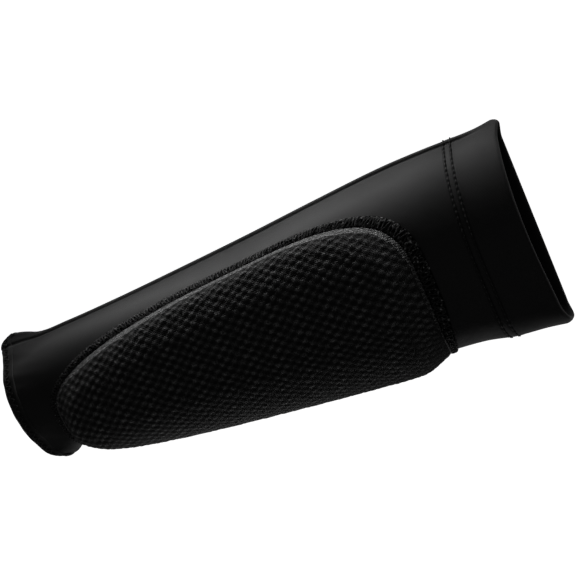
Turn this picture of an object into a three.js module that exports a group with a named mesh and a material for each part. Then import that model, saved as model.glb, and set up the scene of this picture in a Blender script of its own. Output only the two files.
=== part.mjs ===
// Padded forearm sleeve, lying on its back as it does on a table.
// Millimetres, +Z up. The wrist end is towards -X and the elbow end towards +X.
// The sharp fold of the cloth runs along +Y, and the pad wraps over the front and the -Y side.

import * as THREE from "three";

// Sleeve
const LENGTH = 254;
const JERSEY = 1.3;
const WRIST_SLANT = 0.11;
const WRIST_SLANT_MIDDLE = -18;
const ELBOW_SLANT = 0.02;
const SLANT_REACH = 34;
const WRIST_FOLD_ROUND = 6;
const WRIST_SIDE_ROUND = 7;
const WRIST_EAR = 2.4;
const UNDER_EASE = 0.12;
const ELBOW_ROUND = 3;
const ELBOW_EAR = 1.6;
const EAR_WIDTH = 9;
const TIP_REACH = 20;
const TIP_BLUNT = 0.96;
const GAP = 0.3;

// Hems
const TURNED_CLOTH = 2.4;
const ELBOW_HEM_DEPTH = 25.4;
const WRIST_HEM_DEPTH = 6;
const ROLLED_LIP = 0.5;
const ROLL_START = 1.2;
const ROLL_END = 4.2;

// Pad and the flat stitched edge round it
const PAD_START = 20.2;
const PAD_END = 205.7;
const PAD_THICKNESS = 9;
const BORDER_WIDTH = 4.4;
const BORDER_WRIST_WIDTH = 2.8;
const BORDER_ELBOW_WIDTH = 5.6;
const BORDER_END_SHARE = 0.6;
const BORDER_THICKNESS = 1.2;
const SEAM_CLEARANCE = 0.4;

// Cross sections of the cloth's outside, each the taut outline round three circles: the fold,
// the crown over the arm, and the padded side. x runs from the wrist edge to the elbow edge.
const SECTION_COLUMNS = ["x", "foldY", "foldR", "crownY", "crownZ", "crownR", "sideY", "sideR"];
const SECTIONS = [
  [0, 25.4, 3.5, -9, 26.2, 28, -36.8, 8],
  [5, 26.2, 3.2, -8.4, 25.4, 28, -36.9, 8],
  [10, 25.2, 2.9, -7.8, 24.7, 28, -36.4, 8],
  [17, 22.8, 2.6, -7, 23.8, 28, -34.6, 9],
  [30, 22.8, 2.4, -6, 23.8, 28, -35.8, 11],
  [60, 24.1, 2.4, -6.5, 25, 30, -38.4, 13],
  [95, 26.4, 2.4, -7.5, 26.4, 33, -41.4, 13],
  [130, 29, 2.4, -8.5, 27.6, 36, -44.2, 13],
  [165, 32.1, 2.4, -9.5, 28.6, 44, -46.9, 13],
  [200, 34.8, 2.4, -11, 29.3, 50, -49.5, 13],
  [220, 35.2, 2.6, -11, 29.6, 52, -50.8, 13],
  [232, 35.1, 2.6, -12, 29.8, 53, -53, 13],
  [245, 35.2, 2.8, -12, 30, 54, -54, 12],
  [254, 36.2, 3.2, -12, 30.2, 54, -55.2, 11],
];

// Points along each stretch of a cross section, in order round the cloth
const STRETCH_POINTS = {
  upperFold: 3,
  foldedSlope: 3,
  crown: 11,
  paddedSlope: 3,
  paddedSide: 10,
  back: 7,
  lowerFold: 3,
};

// The pad's middle and half its width, measured round the cloth from the tip of the fold
const PAD_COLUMNS = ["x", "middle", "halfWidth"];
const PAD_SHAPE = [
  [PAD_START, 54.5, 26],
  [113, 58.6, 36.7],
  [PAD_END, 66.4, 44.4],
];

// How square each corner of the pad is: 2 is an ellipse's, and higher powers are squarer
const CORNER_POWER = { wristFold: 3.4, wristSide: 2.7, elbowFold: 3.2, elbowSide: 5 };
const PAD_OUTLINE_POINTS = 80;
const OUTLINE_SAMPLES = 2000;
const LENGTHWISE_WEIGHT = 0.5;

// Height of the pad's face above the cloth, at each distance in from its seam
const BEVEL = [
  { inset: 0, height: 0.8 },
  { inset: 3, height: 3 },
  { inset: 6.5, height: 5.9 },
  { inset: 9.5, height: 8 },
  { inset: 12.5, height: PAD_THICKNESS },
];

// Rings across the face inside the bevel, as shares of what is left of its width
const FACE_SHARES = [0.84, 0.68, 0.52, 0.36, 0.2, 0.1];
const FACE_END_INSET = 24;

// Stations where the cloth's rings stand: close together at the wrist, then evenly spaced
const SLEEVE_WRIST_STATIONS = [11, 17, 24, 32, 44];
const SLEEVE_STATION_STEP = 14;
const SLEEVE_EVEN_STATIONS = 12;
const ELBOW_HEM_STATIONS = [234, 240, 246, 250];

const TURN = 2 * Math.PI;
const FLOOR_DIRECTION = 1.5 * Math.PI;
const SLOPE_STEP = 0.5;

const JERSEY_BLACK = new THREE.MeshStandardMaterial({ color: 0x111112, roughness: 0.62 });
const HEM_BLACK = new THREE.MeshStandardMaterial({ color: 0x0f0f10, roughness: 0.66 });
const MESH_BLACK = new THREE.MeshStandardMaterial({ color: 0x141415, roughness: 0.5 });
const THREAD_BLACK = new THREE.MeshStandardMaterial({ color: 0x0b0b0c, roughness: 0.55 });

const { clamp, lerp, smoothstep } = THREE.MathUtils;

// A table's columns read at any x, smoothly between its rows
function columnReader(columns, rows) {
  const places = rows.map((row) => row[0]);
  const values = rows.flatMap((row) => row.slice(1));
  const between = new THREE.CubicInterpolant(places, values, columns.length - 1);
  return (x) => {
    const found = between.evaluate(clamp(x, places[0], places[places.length - 1]));
    return Object.fromEntries(columns.slice(1).map((name, i) => [name, found[i]]));
  };
}

const sectionAt = columnReader(SECTION_COLUMNS, SECTIONS);
const padShapeAt = columnReader(PAD_COLUMNS, PAD_SHAPE);
const PAD_MIDDLE = (PAD_START + PAD_END) / 2;
const PAD_HALF_LENGTH = (PAD_END - PAD_START) / 2;

// Outward direction of the straight stretch of cloth that leaves circle a for circle b
function leavingDirection(a, b) {
  const towards = Math.atan2(b.z - a.z, b.y - a.y);
  const apart = Math.hypot(b.y - a.y, b.z - a.z);
  const direction = towards - Math.acos((a.r - b.r) / apart);
  return (direction + 2 * TURN) % TURN;
}

// The stretches of one cross section, from the tip of the fold over the crown and back below.
// proud lifts the outline outwards and keeps its back on the floor; wall draws it inwards.
function sectionStretches(x, proud = 0, wall = 0) {
  const s = sectionAt(x);
  const fold = { y: s.foldY - s.foldR, z: s.foldR + proud, r: s.foldR + proud - wall };
  const crown = { y: s.crownY, z: s.crownZ - s.crownR + proud, r: s.crownR + proud - wall };
  const side = { y: s.sideY + s.sideR, z: s.sideR + proud, r: s.sideR + proud - wall };
  const offFold = leavingDirection(fold, crown);
  const offCrown = leavingDirection(crown, side);
  return {
    upperFold: { from: fold, start: 0, to: fold, end: offFold },
    foldedSlope: { from: fold, start: offFold, to: crown, end: offFold },
    crown: { from: crown, start: offFold, to: crown, end: offCrown },
    paddedSlope: { from: crown, start: offCrown, to: side, end: offCrown },
    paddedSide: { from: side, start: offCrown, to: side, end: FLOOR_DIRECTION },
    back: { from: side, start: FLOOR_DIRECTION, to: fold, end: FLOOR_DIRECTION },
    lowerFold: { from: fold, start: FLOOR_DIRECTION, to: fold, end: TURN },
  };
}

function pointOnCircle(circle, direction) {
  return new THREE.Vector2(
    circle.y + circle.r * Math.cos(direction),
    circle.z + circle.r * Math.sin(direction),
  );
}

function pointOnStretch(stretch, share) {
  const direction = lerp(stretch.start, stretch.end, share);
  const from = pointOnCircle(stretch.from, direction);
  return from.lerp(pointOnCircle(stretch.to, direction), share);
}

function stretchLength(stretch) {
  const straight = pointOnStretch(stretch, 0).distanceTo(pointOnStretch(stretch, 1));
  const isArc = stretch.from === stretch.to;
  return isArc ? stretch.from.r * (stretch.end - stretch.start) : straight;
}

// How far a rounded tip draws an edge back, at a distance from the tip
function roundedTip(distance, radius) {
  const left = clamp(1 - distance / radius, 0, TIP_BLUNT);
  return radius * (1 - Math.sqrt(1 - left * left));
}

// Both edges are cut on a slant, the wrist longer at the fold and the elbow at the padded side.
// Their tips are rounded ears, but for the wrist's padded side, which only curves back and eases
// out under the sleeve. All of it fades along the sleeve.
function edged(x, point) {
  const s = sectionAt(x);
  const fromFold = s.foldY - point.x;
  const fromSide = point.x - s.sideY;
  const near = (distance, reach) => smoothstep(reach - distance, 0, reach);
  const fromElbow = LENGTH - x;
  const wristSlant = WRIST_SLANT * (WRIST_SLANT_MIDDLE - point.x) * near(x, SLANT_REACH);
  const elbowSlant = -ELBOW_SLANT * point.x * near(fromElbow, SLANT_REACH);
  const easedSide = point.y < s.sideR ? fromSide * UNDER_EASE : fromSide;
  const wristEar = WRIST_EAR * near(fromFold, EAR_WIDTH) - roundedTip(fromFold, WRIST_FOLD_ROUND);
  const wristTips = roundedTip(easedSide, WRIST_SIDE_ROUND) - wristEar;
  const ears = ELBOW_EAR * (near(fromFold, EAR_WIDTH) + near(fromSide, EAR_WIDTH));
  const elbowTips = ears - roundedTip(fromFold, ELBOW_ROUND) - roundedTip(fromSide, ELBOW_ROUND);
  const tips = wristTips * near(x, TIP_REACH) + elbowTips * near(fromElbow, TIP_REACH);
  return new THREE.Vector3(x + wristSlant + elbowSlant + tips, point.x, point.y);
}

// One ring of points round the cloth
function clothRing(x, proud, wall) {
  const stretches = sectionStretches(x, proud, wall);
  return Object.entries(STRETCH_POINTS).flatMap(([name, count]) =>
    Array.from({ length: count }, (_, i) =>
      edged(x, pointOnStretch(stretches[name], i / count))),
  );
}

// A point on the cloth's outside, a distance round it from the fold
function placeOnCloth(x, round) {
  let left = round;
  for (const stretch of Object.values(sectionStretches(x))) {
    const length = stretchLength(stretch);
    if (left <= length) {
      return edged(x, pointOnStretch(stretch, left / length));
    }
    left -= length;
  }
  throw new RangeError("a piece reaches right round the cloth");
}

// The same point lifted off the cloth along its normal
function onCloth(x, round, lift) {
  const along = placeOnCloth(x + SLOPE_STEP, round).sub(placeOnCloth(x - SLOPE_STEP, round));
  const before = Math.max(round - SLOPE_STEP, 0);
  const across = placeOnCloth(x, round + SLOPE_STEP).sub(placeOnCloth(x, before));
  const normal = across.cross(along).normalize();
  return placeOnCloth(x, round).addScaledVector(normal, lift);
}

// Faces between neighbouring rings of equal length; each ring closes on itself
function ringFaces(rings, isLoop) {
  const size = rings[0].length;
  const index = [];
  const last = isLoop ? rings.length : rings.length - 1;
  for (let r = 0; r < last; r += 1) {
    const next = ((r + 1) % rings.length) * size;
    for (let i = 0; i < size; i += 1) {
      const j = (i + 1) % size;
      index.push(r * size + i, r * size + j, next + i);
      index.push(r * size + j, next + j, next + i);
    }
  }
  return index;
}

// Faces that fill a thin closed ring straight across, from one long side to the other
function bridgeFaces(first, size, isFlipped) {
  const index = [];
  const add = (a, b, c) => {
    const corners = isFlipped ? [a, c, b] : [a, b, c];
    index.push(...corners.map((corner) => first + corner));
  };
  const half = size / 2;
  add(0, 1, size - 1);
  for (let i = 1; i < half - 1; i += 1) {
    add(i, i + 1, size - i);
    add(i + 1, size - i - 1, size - i);
  }
  add(half - 1, half, half + 1);
  return index;
}

function solidFrom(rings, index) {
  const geometry = new THREE.BufferGeometry();
  const points = rings.flat().flatMap((p) => p.toArray());
  geometry.setAttribute("position", new THREE.Float32BufferAttribute(points, 3));
  geometry.setIndex(index);
  geometry.computeVertexNormals();
  return geometry;
}

// The sleeve is one wall of cloth: outside rings one way, inside rings back
function sleeveGeometry() {
  const lastClose = SLEEVE_WRIST_STATIONS[SLEEVE_WRIST_STATIONS.length - 1];
  const even = Array.from(
    { length: SLEEVE_EVEN_STATIONS },
    (_, i) => lastClose + SLEEVE_STATION_STEP * (i + 1),
  );
  const start = WRIST_HEM_DEPTH + GAP / 2;
  const end = LENGTH - ELBOW_HEM_DEPTH - GAP / 2;
  const stations = [start, ...SLEEVE_WRIST_STATIONS, ...even, end];
  const outside = stations.map((x) => clothRing(x, 0, 0));
  const inside = stations.map((x) => clothRing(x, 0, JERSEY)).reverse();
  const rings = [...outside, ...inside];
  return solidFrom(rings, ringFaces(rings, true));
}

// The elbow edge turns in, so its last ring stands midway through the doubled cloth
function elbowHemGeometry() {
  const start = LENGTH - ELBOW_HEM_DEPTH + GAP / 2;
  const stations = [start, ...ELBOW_HEM_STATIONS, LENGTH - TURNED_CLOTH / 4];
  const outside = stations.map((x) => clothRing(x, 0, 0));
  const turned = clothRing(LENGTH, 0, TURNED_CLOTH / 2);
  const inside = stations.map((x) => clothRing(x, 0, TURNED_CLOTH)).reverse();
  const rings = [...outside, turned, ...inside];
  return solidFrom(rings, ringFaces(rings, true));
}

// The wrist edge is rolled, so it stands a little proud in the middle of its width.
// Its inner end follows the sleeve's end for as deep as the single cloth goes.
function wristHemGeometry() {
  const rolledWall = TURNED_CLOTH + ROLLED_LIP;
  const end = WRIST_HEM_DEPTH - GAP / 2;
  const stations = [
    { x: 0, proud: 0, wall: TURNED_CLOTH },
    { x: ROLL_START, proud: ROLLED_LIP, wall: rolledWall },
    { x: ROLL_END, proud: ROLLED_LIP, wall: rolledWall },
    { x: end, proud: 0, wall: TURNED_CLOTH },
  ];
  const outside = stations.map((s) => clothRing(s.x, s.proud, 0));
  const againstSleeve = clothRing(end, 0, JERSEY);
  const inside = stations.map((s) => clothRing(s.x, s.proud, s.wall)).reverse();
  const rings = [...outside, againstSleeve, ...inside];
  return solidFrom(rings, ringFaces(rings, true));
}

// The pad's rounded outline as shares of its half length and half width, evenly spaced,
// with lengthwise steps counted lighter because the cloth is straight that way
function padOutline() {
  const shares = Array.from({ length: OUTLINE_SAMPLES + 1 }, (_, i) => {
    const angle = (TURN * i) / OUTLINE_SAMPLES;
    const end = Math.cos(angle) < 0 ? "wrist" : "elbow";
    const side = Math.sin(angle) < 0 ? "Fold" : "Side";
    const power = CORNER_POWER[end + side];
    const rounded = (value) => Math.sign(value) * Math.abs(value) ** (2 / power);
    return { along: rounded(Math.cos(angle)), across: rounded(Math.sin(angle)) };
  });
  const stepLength = (a, b) => Math.hypot(
    (b.along - a.along) * PAD_HALF_LENGTH * LENGTHWISE_WEIGHT,
    (b.across - a.across) * padShapeAt(PAD_MIDDLE).halfWidth,
  );
  const gone = [0];
  for (let i = 1; i <= OUTLINE_SAMPLES; i += 1) {
    gone.push(gone[i - 1] + stepLength(shares[i - 1], shares[i]));
  }
  return Array.from({ length: PAD_OUTLINE_POINTS }, (_, i) => {
    const wanted = (gone[OUTLINE_SAMPLES] * i) / PAD_OUTLINE_POINTS;
    return shares[gone.findIndex((length) => length >= wanted)];
  });
}

const PAD_OUTLINE = padOutline();

// The outline drawn in from the seam, narrowed to a share of what is left, and lifted
function padRing(inset, lift, share = 1) {
  const endInset = inset + (1 - share) * FACE_END_INSET;
  return PAD_OUTLINE.map(({ along, across }) => {
    const x = PAD_MIDDLE + along * (PAD_HALF_LENGTH - endInset);
    const shape = padShapeAt(x);
    return onCloth(x, shape.middle + across * (shape.halfWidth - inset) * share, lift);
  });
}

// The foam's bevelled face above, and below it the same rings laid on the cloth
function padGeometry() {
  const bevelWidth = BEVEL[BEVEL.length - 1].inset;
  const faceLift = SEAM_CLEARANCE + PAD_THICKNESS;
  const face = [
    ...BEVEL.map(({ inset, height }) => padRing(inset, SEAM_CLEARANCE + height)),
    ...FACE_SHARES.map((share) => padRing(bevelWidth, faceLift, share)),
  ];
  const underside = [
    ...BEVEL.map(({ inset }) => padRing(inset, SEAM_CLEARANCE)),
    ...FACE_SHARES.map((share) => padRing(bevelWidth, SEAM_CLEARANCE, share)),
  ];
  const rings = [...face.reverse(), ...underside];
  const lastRing = (rings.length - 1) * PAD_OUTLINE_POINTS;
  const index = [
    ...ringFaces(rings, false),
    ...bridgeFaces(0, PAD_OUTLINE_POINTS, true),
    ...bridgeFaces(lastRing, PAD_OUTLINE_POINTS, false),
  ];
  return solidFrom(rings, index);
}

// The border is narrow round the wrist end of the pad and broad round the elbow end
function borderWidth(along) {
  const atEnd = smoothstep(Math.abs(along), BORDER_END_SHARE, 1);
  return lerp(BORDER_WIDTH, along < 0 ? BORDER_WRIST_WIDTH : BORDER_ELBOW_WIDTH, atEnd);
}

// The outline let out from the seam by a share of the border's width
function borderRing(share, lift) {
  return PAD_OUTLINE.map(({ along, across }) => {
    const outset = GAP + share * borderWidth(along);
    const x = PAD_MIDDLE + along * (PAD_HALF_LENGTH + outset);
    const shape = padShapeAt(x);
    return onCloth(x, shape.middle + across * (shape.halfWidth + outset), lift);
  });
}

function padBorderGeometry() {
  const top = SEAM_CLEARANCE + BORDER_THICKNESS;
  const rings = [
    borderRing(0, SEAM_CLEARANCE),
    borderRing(0, top - GAP),
    borderRing(0.5, top),
    borderRing(1, SEAM_CLEARANCE + BORDER_THICKNESS / 2),
    borderRing(1, SEAM_CLEARANCE),
    borderRing(0.5, SEAM_CLEARANCE),
  ];
  return solidFrom(rings, ringFaces(rings, true));
}

function piece(name, geometry, material) {
  const mesh = new THREE.Mesh(geometry, material);
  mesh.name = name;
  return mesh;
}

const forearmPad = new THREE.Group();
forearmPad.add(
  piece("sleeve", sleeveGeometry(), JERSEY_BLACK),
  piece("elbow_hem", elbowHemGeometry(), HEM_BLACK),
  piece("wrist_hem", wristHemGeometry(), HEM_BLACK.clone()),
  piece("pad", padGeometry(), MESH_BLACK),
  piece("pad_border", padBorderGeometry(), THREAD_BLACK),
);

// The origin stands under the middle of the whole, on the surface that it lies on
const box = new THREE.Box3().setFromObject(forearmPad);
const middle = box.getCenter(new THREE.Vector3());
forearmPad.position.set(-middle.x, -middle.y, -box.min.z);

export default forearmPad;
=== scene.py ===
import math

import bpy
import numpy as np
from mathutils import Matrix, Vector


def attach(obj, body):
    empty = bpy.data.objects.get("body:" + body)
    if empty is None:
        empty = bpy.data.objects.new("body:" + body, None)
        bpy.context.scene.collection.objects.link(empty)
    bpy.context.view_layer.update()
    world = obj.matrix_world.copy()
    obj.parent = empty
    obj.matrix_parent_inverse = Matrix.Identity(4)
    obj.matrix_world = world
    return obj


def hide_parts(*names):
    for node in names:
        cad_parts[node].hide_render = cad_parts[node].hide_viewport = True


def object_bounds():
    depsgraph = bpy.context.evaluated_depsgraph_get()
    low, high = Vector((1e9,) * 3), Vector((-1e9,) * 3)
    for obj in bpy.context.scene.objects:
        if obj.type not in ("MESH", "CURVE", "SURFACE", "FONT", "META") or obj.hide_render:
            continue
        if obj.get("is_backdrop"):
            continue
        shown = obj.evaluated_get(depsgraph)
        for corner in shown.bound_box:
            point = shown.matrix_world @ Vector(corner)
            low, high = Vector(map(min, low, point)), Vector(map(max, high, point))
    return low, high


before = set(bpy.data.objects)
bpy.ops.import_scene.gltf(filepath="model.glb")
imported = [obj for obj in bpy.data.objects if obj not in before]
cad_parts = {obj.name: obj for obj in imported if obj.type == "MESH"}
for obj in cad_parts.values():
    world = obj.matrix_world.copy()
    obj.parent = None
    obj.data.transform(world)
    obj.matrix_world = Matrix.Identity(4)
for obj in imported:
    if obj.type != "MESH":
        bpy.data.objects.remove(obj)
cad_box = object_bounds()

# Sleeve cloth
# A tapered tube of black stretch jersey, cut in one piece, that lies on its back with a pressed
# fold along one edge. It is open at both ends and carries everything else.
MM = 0.001
TURN = 2 * math.pi
FLOOR_DIRECTION = 1.5 * math.pi
CLOTH_LENGTH = 254.0
WRIST_HEM_DEPTH = 6.0
ELBOW_HEM_DEPTH = 25.4
JERSEY_THICKNESS = 1.2
WRIST_SLANT = 0.11
WRIST_SLANT_MIDDLE = -18.0
ELBOW_SLANT = 0.02
SLANT_REACH = 34.0
WRIST_FOLD_ROUND = 6.0
WRIST_SIDE_ROUND = 7.0
WRIST_EAR = 2.4
UNDER_EASE = 0.12
ELBOW_ROUND = 3.0
ELBOW_EAR = 1.6
EAR_WIDTH = 9.0
TIP_REACH = 20.0
TIP_BLUNT = 0.96
WRIST_IN_FRAME = np.array([-125.439, 9.531, 0.0])

# Each row is a cross section at x, the taut outline round three circles:
# x, fold y, fold radius, crown y, crown z, crown radius, padded side y, padded side radius
SECTIONS = np.array([
    [0, 25.4, 3.5, -9, 26.2, 28, -36.8, 8],
    [5, 26.2, 3.2, -8.4, 25.4, 28, -36.9, 8],
    [10, 25.2, 2.9, -7.8, 24.7, 28, -36.4, 8],
    [17, 22.8, 2.6, -7, 23.8, 28, -34.6, 9],
    [30, 22.8, 2.4, -6, 23.8, 28, -35.8, 11],
    [60, 24.1, 2.4, -6.5, 25, 30, -38.4, 13],
    [95, 26.4, 2.4, -7.5, 26.4, 33, -41.4, 13],
    [130, 29, 2.4, -8.5, 27.6, 36, -44.2, 13],
    [165, 32.1, 2.4, -9.5, 28.6, 44, -46.9, 13],
    [200, 34.8, 2.4, -11, 29.3, 50, -49.5, 13],
    [220, 35.2, 2.6, -11, 29.6, 52, -50.8, 13],
    [232, 35.1, 2.6, -12, 29.8, 53, -53, 13],
    [245, 35.2, 2.8, -12, 30, 54, -54, 12],
    [254, 36.2, 3.2, -12, 30.2, 54, -55.2, 11],
], float)


def smooth_step(low, high, value):
    t = np.clip((value - low) / (high - low), 0, 1)
    return t * t * (3 - 2 * t)


def read_table(rows, x):
    """Every column of a table at each x, smoothly between its rows."""
    places, values = rows[:, 0], rows[:, 1:]
    secant = np.diff(values, axis=0) / np.diff(places)[:, None]
    slope = np.vstack([secant[:1], (secant[1:] + secant[:-1]) / 2, secant[-1:]])
    x = np.clip(x, places[0], places[-1])
    i = np.clip(np.searchsorted(places, x, side="right") - 1, 0, len(places) - 2)
    width = (places[i + 1] - places[i])[:, None]
    t = (x - places[i])[:, None] / width
    rise, start, end = values[i + 1] - values[i], slope[i] * width, slope[i + 1] * width
    return values[i] + t * start + t**2 * (3 * rise - 2 * start - end) + t**3 * (start + end - 2 * rise)


def leaving_direction(a, b):
    """Outward direction of the straight cloth that leaves circle a for circle b."""
    towards = np.arctan2(b[1] - a[1], b[0] - a[0])
    apart = np.hypot(b[0] - a[0], b[1] - a[1])
    return (towards - np.arccos((a[2] - b[2]) / apart)) % TURN


def cloth_stretches(x):
    """The arcs and straights of each cross section, from the fold's tip over the crown and back."""
    fold_y, fold_r, crown_y, crown_z, crown_r, side_y, side_r = read_table(SECTIONS, x).T
    fold = np.stack([fold_y - fold_r, fold_r, fold_r])
    crown = np.stack([crown_y, crown_z - crown_r, crown_r])
    side = np.stack([side_y + side_r, side_r, side_r])
    off_fold, off_crown = leaving_direction(fold, crown), leaving_direction(crown, side)
    tip, floor = np.zeros_like(off_fold), np.full_like(off_fold, FLOOR_DIRECTION)
    bends = [tip, off_fold, off_fold, off_crown, off_crown, floor, floor, tip + TURN]
    circles = [fold, fold, crown, crown, side, side, fold, fold]
    lengths = []
    for k in range(7):
        a, b = circles[k], circles[k + 1]
        straight = np.sqrt(np.maximum((b[0] - a[0])**2 + (b[1] - a[1])**2 - (a[2] - b[2])**2, 0))
        lengths.append(straight if k % 2 else a[2] * (bends[k + 1] - bends[k]))
    froms = np.stack([circles[k] for k in range(7)])
    tos = np.stack([circles[k + 1] if k % 2 else circles[k] for k in range(7)])
    return froms, tos, np.stack(bends[:7]), np.stack(bends[1:]), np.stack(lengths)


def cloth_girth(x):
    return cloth_stretches(np.atleast_1d(np.asarray(x, float)))[4].sum(axis=0)


def rounded_tip(distance, radius):
    """How far a rounded tip draws an edge back, at a distance from the tip."""
    left = np.clip(1 - distance / radius, 0, TIP_BLUNT)
    return radius * (1 - np.sqrt(1 - left**2))


def edge_shift(x, y, z):
    """The slant of both cut edges, their rounded tips and their ears, all fading inwards."""
    fold_y, side_y, side_r = read_table(SECTIONS, x).T[[0, 5, 6]]
    from_fold, from_side, from_elbow = fold_y - y, y - side_y, CLOTH_LENGTH - x
    eased_side = from_side * np.where(z < side_r, UNDER_EASE, 1)
    near = lambda distance, reach: smooth_step(0, reach, reach - distance)
    slants = (WRIST_SLANT * (WRIST_SLANT_MIDDLE - y) * near(x, SLANT_REACH)
              - ELBOW_SLANT * y * near(from_elbow, SLANT_REACH))
    wrist_tips = rounded_tip(from_fold, WRIST_FOLD_ROUND) + rounded_tip(eased_side, WRIST_SIDE_ROUND)
    wrist_tips = wrist_tips - WRIST_EAR * near(from_fold, EAR_WIDTH)
    ears = ELBOW_EAR * (near(from_fold, EAR_WIDTH) + near(from_side, EAR_WIDTH))
    elbow_tips = ears - rounded_tip(from_fold, ELBOW_ROUND) - rounded_tip(from_side, ELBOW_ROUND)
    return slants + wrist_tips * near(x, TIP_REACH) + elbow_tips * near(from_elbow, TIP_REACH)


def cloth_point(x, round_mm, lift=0.0):
    """Points on the cloth, a distance round it from the fold's tip, moved out in the section."""
    froms, tos, starts, ends, lengths = cloth_stretches(x)
    reach = np.cumsum(lengths, axis=0)
    k = np.minimum((round_mm[None] > reach).sum(axis=0), 6)
    i = np.arange(len(x))
    share = (round_mm - (reach[k, i] - lengths[k, i])) / np.maximum(lengths[k, i], 1e-9)
    direction = starts[k, i] + (ends[k, i] - starts[k, i]) * share
    out = np.stack([np.cos(direction), np.sin(direction)])
    a, b = froms[k, :, i].T, tos[k, :, i].T
    at_a, at_b = a[:2] + a[2] * out, b[:2] + b[2] * out
    y, z = at_a + (at_b - at_a) * share + lift * out
    return np.stack([x + edge_shift(x, y, z), y, z], axis=1)


def in_frame(points):
    return (points + WRIST_IN_FRAME) * MM


def ring_quads(count, size, is_loop):
    """Faces between neighbouring rings, which each close on themselves."""
    r = np.arange(count if is_loop else count - 1)[:, None] * size
    following = np.roll(np.arange(count) * size, -1)[: len(r), None]
    i, j = np.arange(size)[None], np.roll(np.arange(size), -1)[None]
    return np.stack([r + i, r + j, following + j, following + i], axis=-1).reshape(-1, 4)


SHARP_ANGLE = math.radians(70)


def add_object(name, data):
    made = bpy.data.objects.new(name, data)
    bpy.context.scene.collection.objects.link(made)
    return made


def add_piece(name, points, faces, material, coordinates, marks=None):
    """A smooth mesh object, with coordinates in mm for its weave and marks for the painted shade in its
    pits and hollows.
    """
    mesh = bpy.data.meshes.new(name)
    mesh.from_pydata(points.tolist(), [], [list(map(int, f)) for f in faces])
    mesh.shade_smooth()
    mesh.set_sharp_from_angle(angle=SHARP_ANGLE)
    corners = np.zeros(len(mesh.loops), np.int32)
    mesh.loops.foreach_get("vertex_index", corners)
    layer = mesh.uv_layers.new(name="cloth_mm")
    layer.data.foreach_set("uv", coordinates[corners].astype(np.float32).ravel())
    for mark, values in (marks or {}).items():
        mesh.attributes.new(mark, "FLOAT", "POINT").data.foreach_set("value", values.astype(np.float32))
    mesh.materials.append(material)
    return add_object(name, mesh)


def add_node(tree, kind, inputs=None, **settings):
    """A node with its settings, and its inputs set to numbers or joined to sockets."""
    node = tree.nodes.new(kind)
    for name, value in settings.items():
        setattr(node, name, value)
    for name, value in (inputs or {}).items():
        if isinstance(value, bpy.types.NodeSocket):
            tree.links.new(value, node.inputs[name])
        else:
            node.inputs[name].default_value = value
    return node


def join_values(tree, operation, a, b=0.0):
    """A sum, a product or a sine of values, each a socket or a number."""
    return add_node(tree, "ShaderNodeMath", {0: a, 1: b}, operation=operation).outputs[0]


def mix_colours(tree, share, first, second):
    """A colour between two, each a socket or a colour."""
    return add_node(tree, "ShaderNodeMix", {0: share, 6: first, 7: second}, data_type="RGBA").outputs[2]


def new_group(name, inputs, outputs):
    """An empty node group with named sockets, its input node and its output node."""
    tree = bpy.data.node_groups.new(name, "ShaderNodeTree")
    for socket, kind, value in inputs:
        made = tree.interface.new_socket(name=socket, in_out="INPUT", socket_type=kind)
        if value is not None:
            made.default_value = value
    for socket, kind in outputs:
        tree.interface.new_socket(name=socket, in_out="OUTPUT", socket_type=kind)
    return tree, add_node(tree, "NodeGroupInput"), add_node(tree, "NodeGroupOutput")


def place_group(tree, group, inputs):
    return add_node(tree, "ShaderNodeGroup", inputs, node_tree=group)


# Knit wales and courses with a little fuzz, read from coordinates in millimetres
LOOP_HEIGHT = 0.25
knit_grain, knit_in, knit_out = new_group(
    "knit_grain",
    [("Coordinates", "NodeSocketVector", None), ("Wale", "NodeSocketFloat", 0.6),
     ("Course", "NodeSocketFloat", 0.5), ("Fuzz", "NodeSocketFloat", 0.4)],
    [("Height", "NodeSocketFloat"), ("Shade", "NodeSocketFloat")],
)
split = add_node(knit_grain, "ShaderNodeSeparateXYZ", {"Vector": knit_in.outputs["Coordinates"]})
turns = {}
for axis, size in (("X", "Course"), ("Y", "Wale")):
    share = join_values(knit_grain, "DIVIDE", split.outputs[axis], knit_in.outputs[size])
    turns[axis] = join_values(knit_grain, "MULTIPLY", share, TURN)
wale = join_values(knit_grain, "SINE", turns["Y"])
loop = join_values(knit_grain, "SINE", join_values(knit_grain, "ADD", turns["X"], wale))
stitch = join_values(knit_grain, "MULTIPLY", join_values(knit_grain, "ADD", wale, loop), LOOP_HEIGHT)
lint = add_node(knit_grain, "ShaderNodeTexNoise",
                {"Vector": knit_in.outputs["Coordinates"], "Scale": 1.3, "Detail": 4.0, "Roughness": 0.65})
fuzz = join_values(knit_grain, "MULTIPLY", lint.outputs["Fac"], knit_in.outputs["Fuzz"])
knit_grain.links.new(join_values(knit_grain, "ADD", stitch, fuzz), knit_out.inputs["Height"])
knit_grain.links.new(lint.outputs["Fac"], knit_out.inputs["Shade"])

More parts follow.
